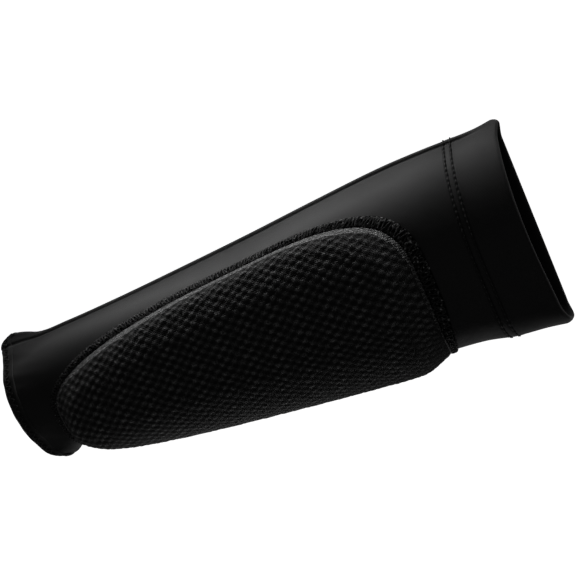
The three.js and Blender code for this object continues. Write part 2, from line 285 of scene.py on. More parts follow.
# Black dye that has taken a little unevenly: a colour and a roughness that drift over the cloth
black_dye, dye_in, dye_out = new_group(
    "black_dye",
    [("Coordinates", "NodeSocketVector", None), ("Dark", "NodeSocketColor", (0.002, 0.002, 0.002, 1)),
     ("Light", "NodeSocketColor", (0.005, 0.005, 0.005, 1)), ("Smooth", "NodeSocketFloat", 0.5),
     ("Rough", "NodeSocketFloat", 0.6)],
    [("Colour", "NodeSocketColor"), ("Roughness", "NodeSocketFloat")],
)
drift = add_node(black_dye, "ShaderNodeTexNoise",
                 {"Vector": dye_in.outputs["Coordinates"], "Scale": 0.09, "Detail": 3.0, "Roughness": 0.5})
tint = mix_colours(black_dye, drift.outputs["Fac"], dye_in.outputs["Dark"], dye_in.outputs["Light"])
gloss = add_node(black_dye, "ShaderNodeMapRange",
                 {"Value": drift.outputs["Fac"], "To Min": dye_in.outputs["Smooth"],
                  "To Max": dye_in.outputs["Rough"]})
black_dye.links.new(tint, dye_out.inputs["Colour"])
black_dye.links.new(gloss.outputs["Result"], dye_out.inputs["Roughness"])


def cloth_material(name, dark, light, smooth, rough, gleam):
    """A dyed cloth, and the coordinates of its weave, which its own details are read from."""
    material = bpy.data.materials.new(name)
    material.use_nodes = True
    tree = material.node_tree
    shader = tree.nodes["Principled BSDF"]
    shader.inputs["Specular IOR Level"].default_value = gleam
    place = add_node(tree, "ShaderNodeUVMap", uv_map="cloth_mm")
    dye = place_group(tree, black_dye, {"Coordinates": place.outputs["UV"], "Dark": dark, "Light": light,
                                        "Smooth": smooth, "Rough": rough})
    tree.links.new(dye.outputs["Colour"], shader.inputs["Base Color"])
    tree.links.new(dye.outputs["Roughness"], shader.inputs["Roughness"])
    return material, place.outputs["UV"]


def raise_grain(material, height, strength, distance):
    """A bump on a material's surface, from a height."""
    tree = material.node_tree
    bump = add_node(tree, "ShaderNodeBump", {"Strength": strength, "Distance": distance, "Height": height})
    tree.links.new(bump.outputs["Normal"], tree.nodes["Principled BSDF"].inputs["Normal"])


def raise_knit(material, place, wale, course, fuzz, strength, distance):
    """A knit raised on a material's surface. The shade of its lint comes back, for specks."""
    knit = place_group(material.node_tree, knit_grain,
                       {"Coordinates": place, "Wale": wale, "Course": course, "Fuzz": fuzz})
    raise_grain(material, knit.outputs["Height"], strength, distance)
    return knit.outputs["Shade"]


JERSEY_DARK = (0.002, 0.002, 0.0021, 1)
JERSEY_LIGHT = (0.0036, 0.0036, 0.0037, 1)
JERSEY_GLEAM = 0.12
jersey, jersey_place = cloth_material(
    "black_jersey", JERSEY_DARK, JERSEY_LIGHT, smooth=0.51, rough=0.57, gleam=JERSEY_GLEAM)
raise_knit(jersey, jersey_place, wale=0.62, course=0.5, fuzz=0.9, strength=0.3, distance=0.0002)

RING_START = 0.8
FOLD_DENSITY = 3.5
FOLD_SHARE = 0.03
RING_POINTS = 264


def ring_shares(count):
    """Shares of the girth for a ring's points, from the middle of the back, closest at the fold."""
    fine = np.linspace(0, 1, 4001)
    density = 1 + FOLD_DENSITY * np.exp(-((fine - (1 - RING_START)) / FOLD_SHARE) ** 2)
    gone = np.concatenate([[0], np.cumsum((density[1:] + density[:-1]) / 2)])
    even = np.interp(np.linspace(0, 1, count, endpoint=False), gone / gone[-1], fine)
    return (even + RING_START) % 1, even


CREASE_DEPTH = 0.6
CREASE_WIDTH = 0.8
CREASE_FROM_TIP = 3.2
CREASE_TURN_IN = 4.6
CREASE_STRAIGHT = (3.0, 22.0)
CREASE_END = (232.0, 250.0)
PUCKER_HEIGHT = 0.1
PUCKER_REACH = 8.0
PUCKER_BROAD = 10.7
PUCKER_STRAY = 1.3
PUCKER_STRAY_LENGTH = 6.1
PUCKER_FINE = 6.3
PUCKER_FINE_SHARE = 0.5
PUCKER_CLEAR = (6.0, 14.0)


def cloth_relief(x, round_mm):
    """The pressed crease beside the fold, and the puckers that the wrist stitching pulls."""
    crease_at = CREASE_FROM_TIP + CREASE_TURN_IN * (1 - smooth_step(*CREASE_STRAIGHT, x))
    depth = CREASE_DEPTH * (1 - smooth_step(*CREASE_END, x))
    crease = -depth * np.exp(-((round_mm - crease_at) / CREASE_WIDTH) ** 2)
    fade = np.exp(-np.maximum(x - WRIST_HEM_DEPTH, 0) / PUCKER_REACH)
    stray = PUCKER_STRAY * np.sin(round_mm / PUCKER_STRAY_LENGTH)
    broad = np.sin(TURN * round_mm / PUCKER_BROAD + stray)
    wave = broad + PUCKER_FINE_SHARE * np.sin(TURN * round_mm / PUCKER_FINE)
    return crease + PUCKER_HEIGHT * fade * wave * smooth_step(*PUCKER_CLEAR, round_mm)


def add_cloth(name, stations, depths, count, relief, material):
    """A piece through rings round the cloth at each station, each drawn in by its depth."""
    shares, even = ring_shares(count)
    x = np.repeat(np.asarray(stations, float), count)
    girth = np.repeat(cloth_girth(stations), count)
    round_mm = np.tile(shares, len(stations)) * girth
    points = cloth_point(x, round_mm, relief(x, round_mm) - np.repeat(np.asarray(depths, float), count))
    points[:, 2] = np.maximum(points[:, 2], 0)
    weave = np.stack([x, np.tile(even, len(stations)) * girth], axis=1)
    return add_piece(name, in_frame(points), ring_quads(len(stations), count, True), material, weave)


UNDER_BAND = 0.4
FLARE_END = 30.0
sleeve_stations = np.concatenate([
    np.linspace(WRIST_HEM_DEPTH - UNDER_BAND, FLARE_END, 24, endpoint=False),
    np.linspace(FLARE_END, CLOTH_LENGTH - ELBOW_HEM_DEPTH, 100),
])
walls = np.concatenate([sleeve_stations, sleeve_stations[::-1]])
depths = np.concatenate([np.zeros(len(sleeve_stations)), np.full(len(sleeve_stations), JERSEY_THICKNESS)])
sleeve_cloth = add_cloth("sleeve_cloth", walls, depths, RING_POINTS, cloth_relief, jersey)
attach(sleeve_cloth, "root")
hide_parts("sleeve")

# Elbow hem
# The wide end's jersey, turned in an inch and held by two rows of twin-needle stitching. Its edge
# rolls over softly, and inside the raw edge shows behind the stitches.
HEM_THICKNESS = 1.15
TURNED_DEPTH = 2.4
STITCH_ROWS = (229.6, 232.8)
STITCH_PITCH = 2.7
STITCH_DIMPLE = 0.34
DIMPLE_WIDTH = 0.5
ROW_PULL = 0.6
HOLE_PULL = 0.4
SHOULDER_HEIGHT = 0.12
SHOULDER_OUT = 1.1
HEM_THREAD_RADIUS = 0.27
HEM_THREAD_LIFT = 0.02
HEM_THREAD_SWING = 0.3
HEM_THREAD_SAMPLES = 12
THREAD_SIDES = 6
TWIST_STEP = 0.3
STITCHED_END = 234.2
PLAIN_START = 235.0
RAW_EDGE_PAST = 1.2
hem_start = CLOTH_LENGTH - ELBOW_HEM_DEPTH
roll = TURNED_DEPTH / 2
roll_at = CLOTH_LENGTH - roll
outer = np.concatenate([np.linspace(hem_start, STITCHED_END, 19), np.linspace(PLAIN_START, roll_at, 20)])
over = np.linspace(0, math.pi, 10)[1:-1]
inner = np.linspace(roll_at, hem_start - RAW_EDGE_PAST, 14)
hem_stations = np.concatenate([outer, roll_at + roll * np.sin(over), inner, inner[::-1], outer[::-1]])
hem_depths = np.concatenate([
    np.zeros(len(outer)), roll * (1 - np.cos(over)), np.full(len(inner), TURNED_DEPTH),
    np.full(len(inner), TURNED_DEPTH - HEM_THICKNESS), np.full(len(outer), HEM_THICKNESS),
])
HEM_RING_POINTS = 600


def hem_relief(x, round_mm):
    """The groove that each stitch row pulls into the hem, deepest at the needle holes."""
    relief = cloth_relief(x, round_mm)
    for row in STITCH_ROWS:
        pull = ROW_PULL - HOLE_PULL * np.cos(TURN * round_mm / STITCH_PITCH)
        relief = relief - STITCH_DIMPLE * pull * np.exp(-((x - row) / DIMPLE_WIDTH) ** 2)
        beside = (np.abs(x - row) - SHOULDER_OUT) / DIMPLE_WIDTH
        relief = relief + SHOULDER_HEIGHT * np.exp(-beside ** 2)
    return relief


elbow_hem_cloth = add_cloth(
    "elbow_hem_cloth", hem_stations, hem_depths, HEM_RING_POINTS, hem_relief, jersey)
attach(elbow_hem_cloth, "root")
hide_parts("elbow_hem")


def thread_tubes(paths, tops, radius):
    """Round closed threads along paths, each with a point above it to say which way is up."""
    tangent = np.roll(paths, -1, axis=1) - np.roll(paths, 1, axis=1)
    side = np.cross(tangent, tops - paths)
    side /= np.linalg.norm(side, axis=2)[..., None]
    up = np.cross(side, tangent)
    up /= np.linalg.norm(up, axis=2)[..., None]
    angle = np.arange(THREAD_SIDES)[:, None] / THREAD_SIDES * TURN
    rings = paths[:, :, None] + radius * (np.cos(angle) * up[:, :, None] + np.sin(angle) * side[:, :, None])
    count = paths.shape[1]
    one = ring_quads(count, THREAD_SIDES, True)
    faces = [face + k * count * THREAD_SIDES for k in range(len(paths)) for face in one]
    weave = TWIST_STEP * np.stack([np.repeat(np.arange(len(paths) * count), THREAD_SIDES),
                                   np.tile(np.arange(THREAD_SIDES), len(paths) * count)], axis=1)
    return rings.reshape(-1, 3), faces, weave


def thread_ring(row, round_pitch, samples, radius, path_of):
    """A closed thread round the cloth: path_of gives its x and lift at each turn of its stitch."""
    girth = float(cloth_girth(row)[0])
    stitches = round(girth / round_pitch)
    turn = np.arange(stitches * samples) / samples * TURN
    round_mm = turn / TURN * girth / stitches
    x, lift = path_of(turn)
    path, top = cloth_point(x, round_mm, lift), cloth_point(x, round_mm, lift + 1.0)
    pressed_up = np.maximum(radius - path[:, 2:], 0) * np.array([0, 0, 1])
    return np.stack([path + pressed_up, top + pressed_up])


THREAD_DARK = (0.002, 0.002, 0.002, 1)
THREAD_LIGHT = (0.016, 0.016, 0.016, 1)
THREAD_GLEAM = 0.12
thread, thread_place = cloth_material(
    "black_thread", THREAD_DARK, THREAD_LIGHT, smooth=0.45, rough=0.58, gleam=THREAD_GLEAM)
twist = add_node(thread.node_tree, "ShaderNodeTexWave",
                 {"Vector": thread_place, "Scale": 0.9, "Distortion": 0.6}, bands_direction="DIAGONAL")
raise_grain(thread, twist.outputs["Fac"], strength=0.5, distance=0.0001)
hem_points, hem_faces, hem_weave = [], [], []
for row in STITCH_ROWS:
    straight = lambda turn: (np.full_like(turn, row), HEM_THREAD_LIFT + HEM_THREAD_SWING * np.cos(turn))
    path, top = thread_ring(row, STITCH_PITCH, HEM_THREAD_SAMPLES, HEM_THREAD_RADIUS, straight)
    points, faces, weave = thread_tubes(path[None], top[None], HEM_THREAD_RADIUS)
    hem_faces += [face + sum(map(len, hem_points)) for face in faces]
    hem_points.append(points)
    hem_weave.append(weave)
elbow_stitches = add_piece("elbow_stitches", in_frame(np.concatenate(hem_points)), hem_faces, thread,
                           np.concatenate(hem_weave))
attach(elbow_stitches, "root")

# Wrist hem
# The narrow end's edge, rolled under and sewn flat with a stretching zigzag, which leaves the
# edge flared and a little wavy.
BAND_BULGE = 0.55
BAND_GROOVE = 0.5
GROOVE_WIDTH = 1.2
ZIGZAG_PITCH = 3.1
ZIGZAG_REACH = 1.25
ZIGZAG_RADIUS = 0.24
ZIGZAG_LIFT = 0.4
ZIGZAG_DIP = 0.32
ZIGZAG_SHARP = 0.97
ZIGZAG_SAMPLES = 16
band, band_place = cloth_material(
    "black_hem_band", JERSEY_DARK, JERSEY_LIGHT, smooth=0.56, rough=0.64, gleam=JERSEY_GLEAM)
raise_knit(band, band_place, wale=0.7, course=0.6, fuzz=0.8, strength=0.25, distance=0.0002)
front = np.linspace(roll, WRIST_HEM_DEPTH, 16)
edge = np.linspace(0, math.pi, 10)[1:-1]
band_stations = np.concatenate([roll - roll * np.sin(edge[::-1]), front, front[::-1]])
bulge = -BAND_BULGE * np.sqrt(np.clip(np.sin(math.pi * front / WRIST_HEM_DEPTH), 0, 1))
bulge = bulge + BAND_GROOVE * np.exp(-((front - WRIST_HEM_DEPTH / 2) / GROOVE_WIDTH) ** 2)
band_depths = np.concatenate([roll * (1 - np.cos(edge[::-1])), bulge, np.full(len(front), TURNED_DEPTH)])
BAND_RING_POINTS = 360
wrist_band = add_cloth("wrist_band", band_stations, band_depths, BAND_RING_POINTS, cloth_relief, band)
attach(wrist_band, "root")
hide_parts("wrist_hem")


def zigzag(turn):
    """A thread that swings from side to side in the band's groove, and dips at each turn."""
    swing = np.arcsin(np.sin(turn) * ZIGZAG_SHARP) / (math.pi / 2)
    return WRIST_HEM_DEPTH / 2 + ZIGZAG_REACH * swing, ZIGZAG_LIFT - ZIGZAG_DIP * np.abs(swing) ** 5


path, top = thread_ring(WRIST_HEM_DEPTH / 2, ZIGZAG_PITCH, ZIGZAG_SAMPLES, ZIGZAG_RADIUS, zigzag)
points, faces, weave = thread_tubes(path[None], top[None], ZIGZAG_RADIUS)
wrist_stitches = add_piece("wrist_stitches", in_frame(points), faces, thread, weave)
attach(wrist_stitches, "root")

# Pad
# A thick shaped foam in a bumpy mesh cover, laid over the sleeve's front and padded side. The
# cover is stretched over the foam, which swells it, and is drawn down smooth to a seam all round.
PAD_START = 20.2
PAD_END = 205.7
PAD_THICKNESS = 9.0
PAD_MIDDLE = (PAD_START + PAD_END) / 2
PAD_HALF_LENGTH = (PAD_END - PAD_START) / 2
SEAM_CLEARANCE = 0.4
# x, the pad's middle and half its width, both measured round the cloth from the fold's tip
PAD_SHAPE = np.array([[PAD_START, 54.5, 26], [113, 58.6, 36.7], [PAD_END, 66.4, 44.4]], float)
# how square each corner of the seam is
CORNER_POWER = {("wrist", "fold"): 3.4, ("wrist", "side"): 2.7,
                ("elbow", "fold"): 3.2, ("elbow", "side"): 6.4}
# distance in from the seam and the face's height above the cloth
BEVEL = np.array([[0, 0.8], [3, 3], [6.5, 5.9], [9.5, 8], [12.5, 9], [14.2, 9.05]], float)
# where the fold's side and the steep corner begin and are full, as shares of half the pad
FOLD_SIDE = (0.55, 0.9)
FOLD_SIDE_ALONG = (-0.99, -0.8)
CORNER_ALONG = (0.6, 0.95)
CORNER_ACROSS = (0.1, 0.6)
FOLD_TIGHTER = 0.25
CORNER_TIGHTER = 0.15
CELL_ALONG = 6.05
CELL_ACROSS = 4.25
SIDE_CELL_ACROSS = 3.0
SIDE_FROM = (-2.0, 18.0)
# waves that set the bumps off their rows: size, and turning along and across the cover
ALONG_STRAY = ((0.3, 0.23, 0.41), (0.2, -0.7, 1.1))
ACROSS_STRAY = ((0.25, 0.37, -0.19), (0.15, 1.2, 0.6))
BUMP_SPREAD = 0.15
BUMP_PLUMP = 1.35
BUMP_HEIGHT = 0.88
# power on the bumps' relief: the higher it is, the further the painted shade in the pits reaches up the
# bumps' sides
BUMP_SHADE_POWER = 1.7
SIDE_BUMP_HEIGHT = 0.45
RIM_PUCKER = 0.2
RIM_PUCKER_SIZE = (1.2, 1.5)
RIM_SMOOTH = 1.0
ELBOW_RIM_SMOOTH = 2.0
ELBOW_RIM_ALONG = (0.7, 0.9)
ELBOW_RIM_ACROSS = (0.1, 0.75)
FOLD_RIM_SMOOTH = 3.9
RIM_FADE = 0.9
GRID_STEP = 0.46
RIM_POINTS = 1150
RIM_RINGS = (0.4, 10.8, 24)
FACE_FROM_RIM = 0.25
COVER_REACH = 66.0
UNDER_STEP = 2.4
UNDER_INSET = 2.0
# painted shade in the pits between the mesh's bumps, mixed in where their relief is low
MESH_SHADE_IN_PITS = (0.009, 0.009, 0.009, 1)
MESH_DARK = (0.1, 0.1, 0.1004, 1)
MESH_LIGHT = (0.135, 0.135, 0.1355, 1)
MESH_GLEAM = 0.03


def corner_power(along, across):
    at_wrist, at_fold = along < 0, across < 0
    wrist = np.where(at_fold, CORNER_POWER["wrist", "fold"], CORNER_POWER["wrist", "side"])
    elbow = np.where(at_fold, CORNER_POWER["elbow", "fold"], CORNER_POWER["elbow", "side"])
    return np.where(at_wrist, wrist, elbow)


def raised_point(x, round_mm, lift):
    """Points lifted off the cloth along its own normal."""
    step = 0.5
    along = cloth_point(x + step, round_mm) - cloth_point(x - step, round_mm)
    across = cloth_point(x, round_mm + step) - cloth_point(x, np.maximum(round_mm - step, 0))
    normal = np.cross(across, along)
    normal /= np.linalg.norm(normal, axis=1)[:, None]
    return cloth_point(x, round_mm) + normal * np.broadcast_to(lift, len(x))[:, None]


def pad_outline(count):
    """The pad's rounded outline as shares of its half length and half width, evenly spaced."""
    angle = np.linspace(0, TURN, 8001)
    circle = np.cos(angle), np.sin(angle)
    power = corner_power(*circle)
    along, across = (np.sign(part) * np.abs(part) ** (2 / power) for part in circle)
    step = np.hypot(np.diff(along) * PAD_HALF_LENGTH, np.diff(across) * PAD_SHAPE[1, 2])
    gone = np.concatenate([[0], np.cumsum(step)])
    wanted = np.linspace(0, gone[-1], count, endpoint=False)
    return np.interp(wanted, gone, along), np.interp(wanted, gone, across)


def pad_ring(inset, count):
    """The seam's outline drawn in by an inset, or let out if it is negative."""
    along, across = pad_outline(count)
    x = PAD_MIDDLE + along * (PAD_HALF_LENGTH - inset)
    middle, half = read_table(PAD_SHAPE, x).T
    return x, middle + across * (half - inset)


def pad_inset(x, round_mm):
    """How far in from the seam each point of the pad lies, by halving."""
    middle, half = read_table(PAD_SHAPE, x).T
    along, across = x - PAD_MIDDLE, round_mm - middle
    power = corner_power(along, across)
    share_of = lambda inset: ((np.abs(along) / (PAD_HALF_LENGTH - inset)) ** power
                              + (np.abs(across) / (half - inset)) ** power)
    low = np.zeros_like(x)
    high = np.minimum(PAD_HALF_LENGTH, half) * 0.999
    for _ in range(40):
        mid = (low + high) / 2
        is_inside = share_of(mid) < 1
        low, high = np.where(is_inside, mid, low), np.where(is_inside, high, mid)
    return np.where(share_of(0) > 1, -1.0, low)


def face_height(inset):
    return read_table(BEVEL, inset)[:, 0]


# Distance across the cover's outside, at each distance round the cloth, along the pad
lattice_x = np.linspace(PAD_START, PAD_END, 60)
lattice_share = np.linspace(-1, 1, 181)
grid_x = np.repeat(lattice_x, len(lattice_share))
middle, half = read_table(PAD_SHAPE, grid_x).T
grid_round = middle + np.tile(lattice_share, len(lattice_x)) * half
outside = raised_point(grid_x, grid_round, SEAM_CLEARANCE + PAD_THICKNESS).reshape(len(lattice_x), -1, 3)
gone = np.concatenate([np.zeros((len(lattice_x), 1)),
                       np.cumsum(np.linalg.norm(np.diff(outside, axis=1), axis=2), axis=1)], axis=1)
centre = gone[:, len(lattice_share) // 2][:, None]
spread_table = gone - centre
round_table = grid_round.reshape(len(lattice_x), -1)


def pad_shares(x, round_mm):
    """Where points lie on the pad, as shares of its half length and its half width."""
    middle, half = read_table(PAD_SHAPE, x).T
    return (x - PAD_MIDDLE) / PAD_HALF_LENGTH, (round_mm - middle) / half


def read_grid(table, row, column):
    """Values between a table's entries, by a row and a column that needn't be whole numbers."""
    row, column = np.clip(row, 0, table.shape[0] - 1.001), np.clip(column, 0, table.shape[1] - 1.001)
    i, j = row.astype(int), column.astype(int)
    s, t = row - i, column - j
    near = table[i, j] * (1 - t) + table[i, j + 1] * t
    return near * (1 - s) + (table[i + 1, j] * (1 - t) + table[i + 1, j + 1] * t) * s


def across_cover(x, round_mm):
    """Distance across the cover from its middle line."""
    along, across = pad_shares(x, round_mm)
    rows, columns = spread_table.shape
    return read_grid(spread_table, (along + 1) / 2 * (rows - 1), (across + 1) / 2 * (columns - 1))


# Bumps counted across the cover, which lie closer together down the padded side
cover_places = np.linspace(-COVER_REACH, COVER_REACH, 400)
cell_sizes = CELL_ACROSS + (SIDE_CELL_ACROSS - CELL_ACROSS) * smooth_step(*SIDE_FROM, cover_places)
bump_counts = np.cumsum((cover_places[1] - cover_places[0]) / cell_sizes)


def bump_relief(x, across):
    """Plump bumps in staggered rows, a little uneven, from 0 in the pits to 1 on top."""
    stray = lambda waves: sum(size * np.sin(a * x + b * across) for size, a, b in waves)
    u = (x + stray(ALONG_STRAY)) / CELL_ALONG
    v = np.interp(across + stray(ACROSS_STRAY), cover_places, bump_counts)
    crate = 0.5 + 0.5 * np.cos(TURN * u) * np.cos(TURN * v)
    height = 1 - BUMP_SPREAD + BUMP_SPREAD * np.sin(1.7 * np.round(2 * u) + 2.9 * np.round(2 * v))
    return crate ** BUMP_PLUMP * height


def fold_side(x, round_mm):
    """1 along the fold's side of the pad, falling to 0 at its ends and its padded side."""
    along, across = pad_shares(x, round_mm)
    return smooth_step(*FOLD_SIDE, -across) * smooth_step(*FOLD_SIDE_ALONG, along)


def blunt_corner(x, round_mm):
    """1 where the pad's elbow end meets its padded side and stands up steeply, 0 elsewhere."""
    along, across = pad_shares(x, round_mm)
    return smooth_step(*CORNER_ALONG, along) * smooth_step(*CORNER_ACROSS, across)


def rim_width(x, round_mm):
    """How far in from the seam the cover is drawn smooth: far up the bevel on the fold's side."""
    along, across = pad_shares(x, round_mm)
    at_elbow = smooth_step(*ELBOW_RIM_ALONG, along) * smooth_step(*ELBOW_RIM_ACROSS, -across)
    width = RIM_SMOOTH + np.maximum((FOLD_RIM_SMOOTH - RIM_SMOOTH) * fold_side(x, round_mm),
                                    (ELBOW_RIM_SMOOTH - RIM_SMOOTH) * at_elbow)
    return width * (1 - blunt_corner(x, round_mm))


def uneven(a, b, seed):
    """Smooth uneven values from -1 to 1 over two coordinates, the same on every run."""
    i, j = np.floor(a), np.floor(b)
    u, v = smooth_step(0, 1, a - i), smooth_step(0, 1, b - j)
    corner = lambda p, q: 2 * ((np.sin((i + p) * 12.9898 + (j + q) * 78.233 + seed) * 43758.5453) % 1) - 1
    near, far = corner(0, 0) * (1 - u) + corner(1, 0) * u, corner(0, 1) * (1 - u) + corner(1, 1) * u
    return near * (1 - v) + far * v


def face_patch(step, inset_from, surface):
    """A grid of square faces over the pad inside an inset, with its outer loop in order."""
    columns = np.arange(PAD_START, PAD_END, step)
    lines = np.arange(-COVER_REACH, COVER_REACH, step)
    spread = np.stack([np.interp(columns, lattice_x, line) for line in spread_table.T], axis=1)
    place = np.stack([np.interp(columns, lattice_x, line) for line in round_table.T], axis=1)
    ground = np.stack([np.interp(lines, spread[c], place[c]) for c in range(len(columns))])
    on_cover = (lines[None] > spread[:, :1]) & (lines[None] < spread[:, -1:])
    x, round_mm = np.repeat(columns, len(lines)), ground.ravel()
    inset = np.where(on_cover.ravel(), pad_inset(x, round_mm), -1.0)
    keep = (inset > inset_from).reshape(ground.shape)
    cell = keep[:-1, :-1] & keep[1:, :-1] & keep[:-1, 1:] & keep[1:, 1:]
    index = np.arange(len(x)).reshape(ground.shape)
    quads = np.stack([index[:-1, :-1], index[:-1, 1:], index[1:, 1:], index[1:, :-1]], axis=-1)[cell]
    used, faces = np.unique(quads, return_inverse=True)
    faces = faces.reshape(-1, 4)
    points, marks = surface(x[used], round_mm[used], inset[used])
    sides = np.concatenate([faces[:, [k, (k + 1) % 4]] for k in range(4)])
    known = {(int(a), int(b)) for a, b in sides}
    following = {a: b for a, b in known if (b, a) not in known}
    loop = [min(following)]
    while following[loop[-1]] != loop[0]:
        loop.append(following[loop[-1]])
    weave = np.stack([x[used], across_cover(x[used], round_mm[used])], axis=1)
    return points, marks, faces, np.array(loop[::-1]), weave


# The cover as a stretched cloth, held at its seam and pressed out by the foam in a cloth simulation
SWELL_STEP = 3.4
SWELL_INSET = 1.0
SWELL_SCALE = 10.0
SWELL_PRESSURE = 1.0
SWELL_FRAMES = 20
SWELL_MOST = 1.2
FOAM_SHARE = 0.95


def foam_lift(x, round_mm, inset):
    """Height of the foam's bevelled face above the cloth, before its cover swells."""
    tighter = FOLD_TIGHTER * fold_side(x, round_mm) + CORNER_TIGHTER * blunt_corner(x, round_mm)
    return SEAM_CLEARANCE + FOAM_SHARE * face_height(inset * (1 + tighter))


def foam_face(x, round_mm, inset):
    return raised_point(x, round_mm, foam_lift(x, round_mm, inset)), inset


drum_points, _, drum_faces, drum_seam, drum_places = face_patch(SWELL_STEP, SWELL_INSET, foam_face)
drum_mesh = bpy.data.meshes.new("cover_drum")
drum_mesh.from_pydata((drum_points * MM * SWELL_SCALE).tolist(), [], drum_faces.tolist())
drum = add_object("cover_drum", drum_mesh)
drum.vertex_groups.new(name="seam").add([int(v) for v in drum_seam], 1.0, "REPLACE")
stretching = drum.modifiers.new("stretching", "CLOTH")
stretching.settings.vertex_group_mass = "seam"
stretching.settings.use_pressure = True
stretching.settings.uniform_pressure_force = SWELL_PRESSURE
stretching.settings.effector_weights.gravity = 0
stretching.point_cache.frame_end = SWELL_FRAMES
for step in range(1, SWELL_FRAMES + 1):
    bpy.context.scene.frame_set(step)
swollen = drum.evaluated_get(bpy.context.evaluated_depsgraph_get()).data
moved = np.array([v.co for v in swollen.vertices]) / (MM * SWELL_SCALE) - drum_points
swell = (moved * np.array([v.normal for v in drum_mesh.vertices])).sum(axis=1)
bpy.context.scene.frame_set(1)
bpy.data.objects.remove(drum)
swell_column, swell_line = np.round((drum_places - [PAD_START, -COVER_REACH]) / SWELL_STEP).astype(int).T
swell_table = np.zeros((swell_column.max() + 3, round(2 * COVER_REACH / SWELL_STEP) + 3))
swell_table[swell_column, swell_line] = np.clip(swell, -SWELL_MOST / 2, SWELL_MOST)


def swell_lift(x, across):
    """How far the simulated cover swells at each place on it."""
    return read_grid(swell_table, (x - PAD_START) / SWELL_STEP, (across + COVER_REACH) / SWELL_STEP)


def pad_face(x, round_mm, inset):
    """The cover's outside: the swollen foam, puckered at its rim, with the mesh's bumps. Its marks give the
    bumps' relief, which sets the painted shade in their pits.
    """
    across = across_cover(x, round_mm)
    bumpy = smooth_step(0, RIM_FADE, inset - rim_width(x, round_mm))
    relief = bump_relief(x, across)
    long, deep = RIM_PUCKER_SIZE
    pucker = RIM_PUCKER * (1 - bumpy) * smooth_step(0, 1, inset) * uneven(x / long, inset / deep, 3.0)
    bump_height = BUMP_HEIGHT + (SIDE_BUMP_HEIGHT - BUMP_HEIGHT) * smooth_step(*SIDE_FROM, across)
    lift = foam_lift(x, round_mm, inset) + swell_lift(x, across) + pucker + bump_height * bumpy * relief
    # The second value is the bumps' relief, which sets the painted shade in their pits.
    return raised_point(x, round_mm, lift), relief ** BUMP_SHADE_POWER * bumpy


def zip_loops(points, outer, inner):
    """Triangles that fill between two loops that run the same way round."""
    first = np.argmin(np.linalg.norm(points[inner] - points[outer[0]], axis=1))
    inner = np.roll(inner, -first)
    gone = []
    for loop in (outer, inner):
        closed = points[np.append(loop, loop[0])]
        length = np.concatenate([[0], np.cumsum(np.linalg.norm(np.diff(closed, axis=0), axis=1))])
        gone.append(length / length[-1])
    faces, i, j = [], 0, 0
    while i < len(outer) or j < len(inner):
        a, b = outer[i % len(outer)], inner[j % len(inner)]
        if j >= len(inner) or (i < len(outer) and gone[0][i + 1] <= gone[1][j + 1]):
            faces.append((a, outer[(i + 1) % len(outer)], b))
            i += 1
        else:
            faces.append((a, inner[(j + 1) % len(inner)], b))
            j += 1
    return faces


rim_insets = np.concatenate([[0.0], np.linspace(*RIM_RINGS)])
seam_x, seam_round = pad_ring(0.0, RIM_POINTS)
cover_points = [raised_point(seam_x, seam_round, SEAM_CLEARANCE)]
cover_shade_marks = [np.zeros(RIM_POINTS)]
smooth_rings = []
cover_weave = [np.stack([seam_x, across_cover(seam_x, seam_round)], axis=1)]
for inset in rim_insets:
    x, round_mm = pad_ring(inset, RIM_POINTS)
    points, marks = pad_face(x, round_mm, np.full(RIM_POINTS, inset))
    smooth_rings.append(inset < rim_width(x, round_mm) + RIM_FADE / 2)
    cover_points.append(points)
    cover_shade_marks.append(marks)
    cover_weave.append(np.stack([x, across_cover(x, round_mm)], axis=1))
ring_count = len(cover_points)
under = lambda x, round_mm, inset: (raised_point(x, round_mm, SEAM_CLEARANCE), np.zeros(len(x)))
top_points, top_marks, top_faces, top_loop, top_weave = face_patch(
    GRID_STEP, rim_insets[-1] + FACE_FROM_RIM, pad_face)
low_points, low_marks, low_faces, low_loop, low_weave = face_patch(UNDER_STEP, UNDER_INSET, under)
cover_points = np.concatenate([*cover_points, top_points, low_points])
cover_shade_marks = np.concatenate([*cover_shade_marks, top_marks, low_marks])
cover_weave = np.concatenate([*cover_weave, top_weave, low_weave])
top_first = ring_count * RIM_POINTS
low_first = top_first + len(top_points)
last_ring = top_first - RIM_POINTS + np.arange(RIM_POINTS)
cover_faces = [
    *ring_quads(ring_count, RIM_POINTS, False)[:, ::-1],
    *(top_faces + top_first),
    *[face[::-1] for face in zip_loops(cover_points, last_ring, top_loop + top_first)],
    *(low_faces[:, ::-1] + low_first),
    *zip_loops(cover_points, np.arange(RIM_POINTS), low_loop + low_first),
]

# Shade in the pits of a bumpy cloth, by its relief
pit_shade, pit_in, pit_out = new_group(
    "pit_shade",
    [("Colour", "NodeSocketColor", (0.03, 0.03, 0.03, 1)),
     ("Pit", "NodeSocketColor", (0.01, 0.01, 0.01, 1)), ("Relief", "NodeSocketFloat", 1.0)],
    [("Colour", "NodeSocketColor")],
)
deepened = mix_colours(pit_shade, pit_in.outputs["Relief"], pit_in.outputs["Pit"], pit_in.outputs["Colour"])
pit_shade.links.new(deepened, pit_out.inputs["Colour"])


def darken_pits(material, pit, lint, low, high, relief=1.0):
    """Puts the shade of pits, and the lint's dark specks, between a material's dye and its shader."""
    tree = material.node_tree
    colour = tree.nodes["Principled BSDF"].inputs["Base Color"]
    dyed = colour.links[0].from_socket
    speck = add_node(tree, "ShaderNodeMapRange",
                     {"Value": lint, "From Min": low, "From Max": high, "To Max": relief})
    shade = place_group(tree, pit_shade, {"Colour": dyed, "Pit": pit, "Relief": speck.outputs["Result"]})
    tree.links.new(shade.outputs["Colour"], colour)


def read_relief(material):
    return add_node(material.node_tree, "ShaderNodeAttribute", attribute_name="relief").outputs["Fac"]


